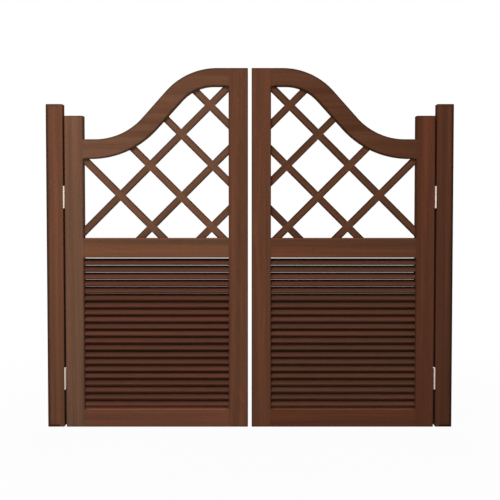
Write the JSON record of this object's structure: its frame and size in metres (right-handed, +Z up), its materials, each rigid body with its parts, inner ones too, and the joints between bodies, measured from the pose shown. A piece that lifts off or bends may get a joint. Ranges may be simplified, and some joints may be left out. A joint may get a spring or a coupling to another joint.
{
  "type": "cafe swinging doors",
  "caption": "Pair of saloon doors with S-curved tops, diamond lattice above louvres, on double-action spring hinges between two posts.",
  "frame": {"origin": "midway between the posts, at the middle of the wood's thickness, at the height of the posts' and leaves' feet", "axes": "+Z up, +X along the doorway to the right leaf, -Y towards the front"},
  "size_m": [1.21, 0.0528, 1.07],
  "materials": {
    "left_wood": "walnut-brown stain under satin lacquer",
    "right_wood": "darker walnut-brown stain under satin lacquer",
    "dowel_wood": "bare beech",
    "satin_steel": "satin nickel plate",
    "bright_steel": "bright zinc plate",
    "bush_brass": "turned brass"
  },
  "bodies": {
    "posts": {"left_post": "left_wood", "right_post": "right_wood", "left_upper_post_plate": "satin_steel", "left_lower_post_plate": "satin_steel", "right_upper_post_plate": "satin_steel", "right_lower_post_plate": "satin_steel", "post_barrel_bushes": "bush_brass", "post_plate_screws": "bright_steel"},
    "left_flaps": {"left_upper_flap": "satin_steel", "left_lower_flap": "satin_steel", "left_hinge_pins": "bright_steel", "left_hinge_collars": "satin_steel", "left_hinge_springs": "bright_steel"},
    "left_leaf": {"left_hinge_stile": "left_wood", "left_meeting_stile": "left_wood", "left_top_rail": "left_wood", "left_middle_rail": "left_wood", "left_bottom_rail": "left_wood", "left_louvre_slats": "left_wood", "left_joint_dowels": "dowel_wood", "left_falling_bar_1": "left_wood", "left_falling_bar_2": "left_wood", "left_falling_bar_3": "left_wood", "left_falling_bar_4": "left_wood", "left_rising_bar_1": "left_wood", "left_rising_bar_2": "left_wood", "left_rising_bar_3": "left_wood", "left_upper_leaf_plate": "satin_steel", "left_lower_leaf_plate": "satin_steel", "left_leaf_barrel_bushes": "bush_brass", "left_leaf_plate_screws": "bright_steel"},
    "right_flaps": {"right_upper_flap": "satin_steel", "right_lower_flap": "satin_steel", "right_hinge_pins": "bright_steel", "right_hinge_collars": "satin_steel", "right_hinge_springs": "bright_steel"},
    "right_leaf": {"right_hinge_stile": "right_wood", "right_meeting_stile": "right_wood", "right_top_rail": "right_wood", "right_middle_rail": "right_wood", "right_bottom_rail": "right_wood", "right_louvre_slats": "right_wood", "right_joint_dowels": "dowel_wood", "right_falling_bar_1": "right_wood", "right_falling_bar_2": "right_wood", "right_falling_bar_3": "right_wood", "right_falling_bar_4": "right_wood", "right_rising_bar_1": "right_wood", "right_rising_bar_2": "right_wood", "right_rising_bar_3": "right_wood", "right_upper_leaf_plate": "satin_steel", "right_lower_leaf_plate": "satin_steel", "right_leaf_barrel_bushes": "bush_brass", "right_leaf_plate_screws": "bright_steel"}
  },
  "joints": [
    {"name": "left_leaf_forward", "type": "hinge", "parent": "posts", "child": "left_flaps", "pos_m": [-0.55245, -0.02345, 0.417], "axis": [0, 0, -1], "range_deg": [0, 90], "stiffness_Nm_per_rad": 3, "springref_deg": -28.65},
    {"name": "left_leaf_backward", "type": "hinge", "parent": "left_flaps", "child": "left_leaf", "pos_m": [-0.55245, 0.02345, 0.417], "axis": [0, 0, 1], "range_deg": [0, 90], "stiffness_Nm_per_rad": 3, "springref_deg": -28.65},
    {"name": "right_leaf_backward", "type": "hinge", "parent": "posts", "child": "right_flaps", "pos_m": [0.55245, 0.02345, 0.417], "axis": [0, 0, -1], "range_deg": [0, 90], "stiffness_Nm_per_rad": 3, "springref_deg": -28.65},
    {"name": "right_leaf_forward", "type": "hinge", "parent": "right_flaps", "child": "right_leaf", "pos_m": [0.55245, -0.02345, 0.417], "axis": [0, 0, 1], "range_deg": [0, 90], "stiffness_Nm_per_rad": 3, "springref_deg": -28.65}
  ]
}
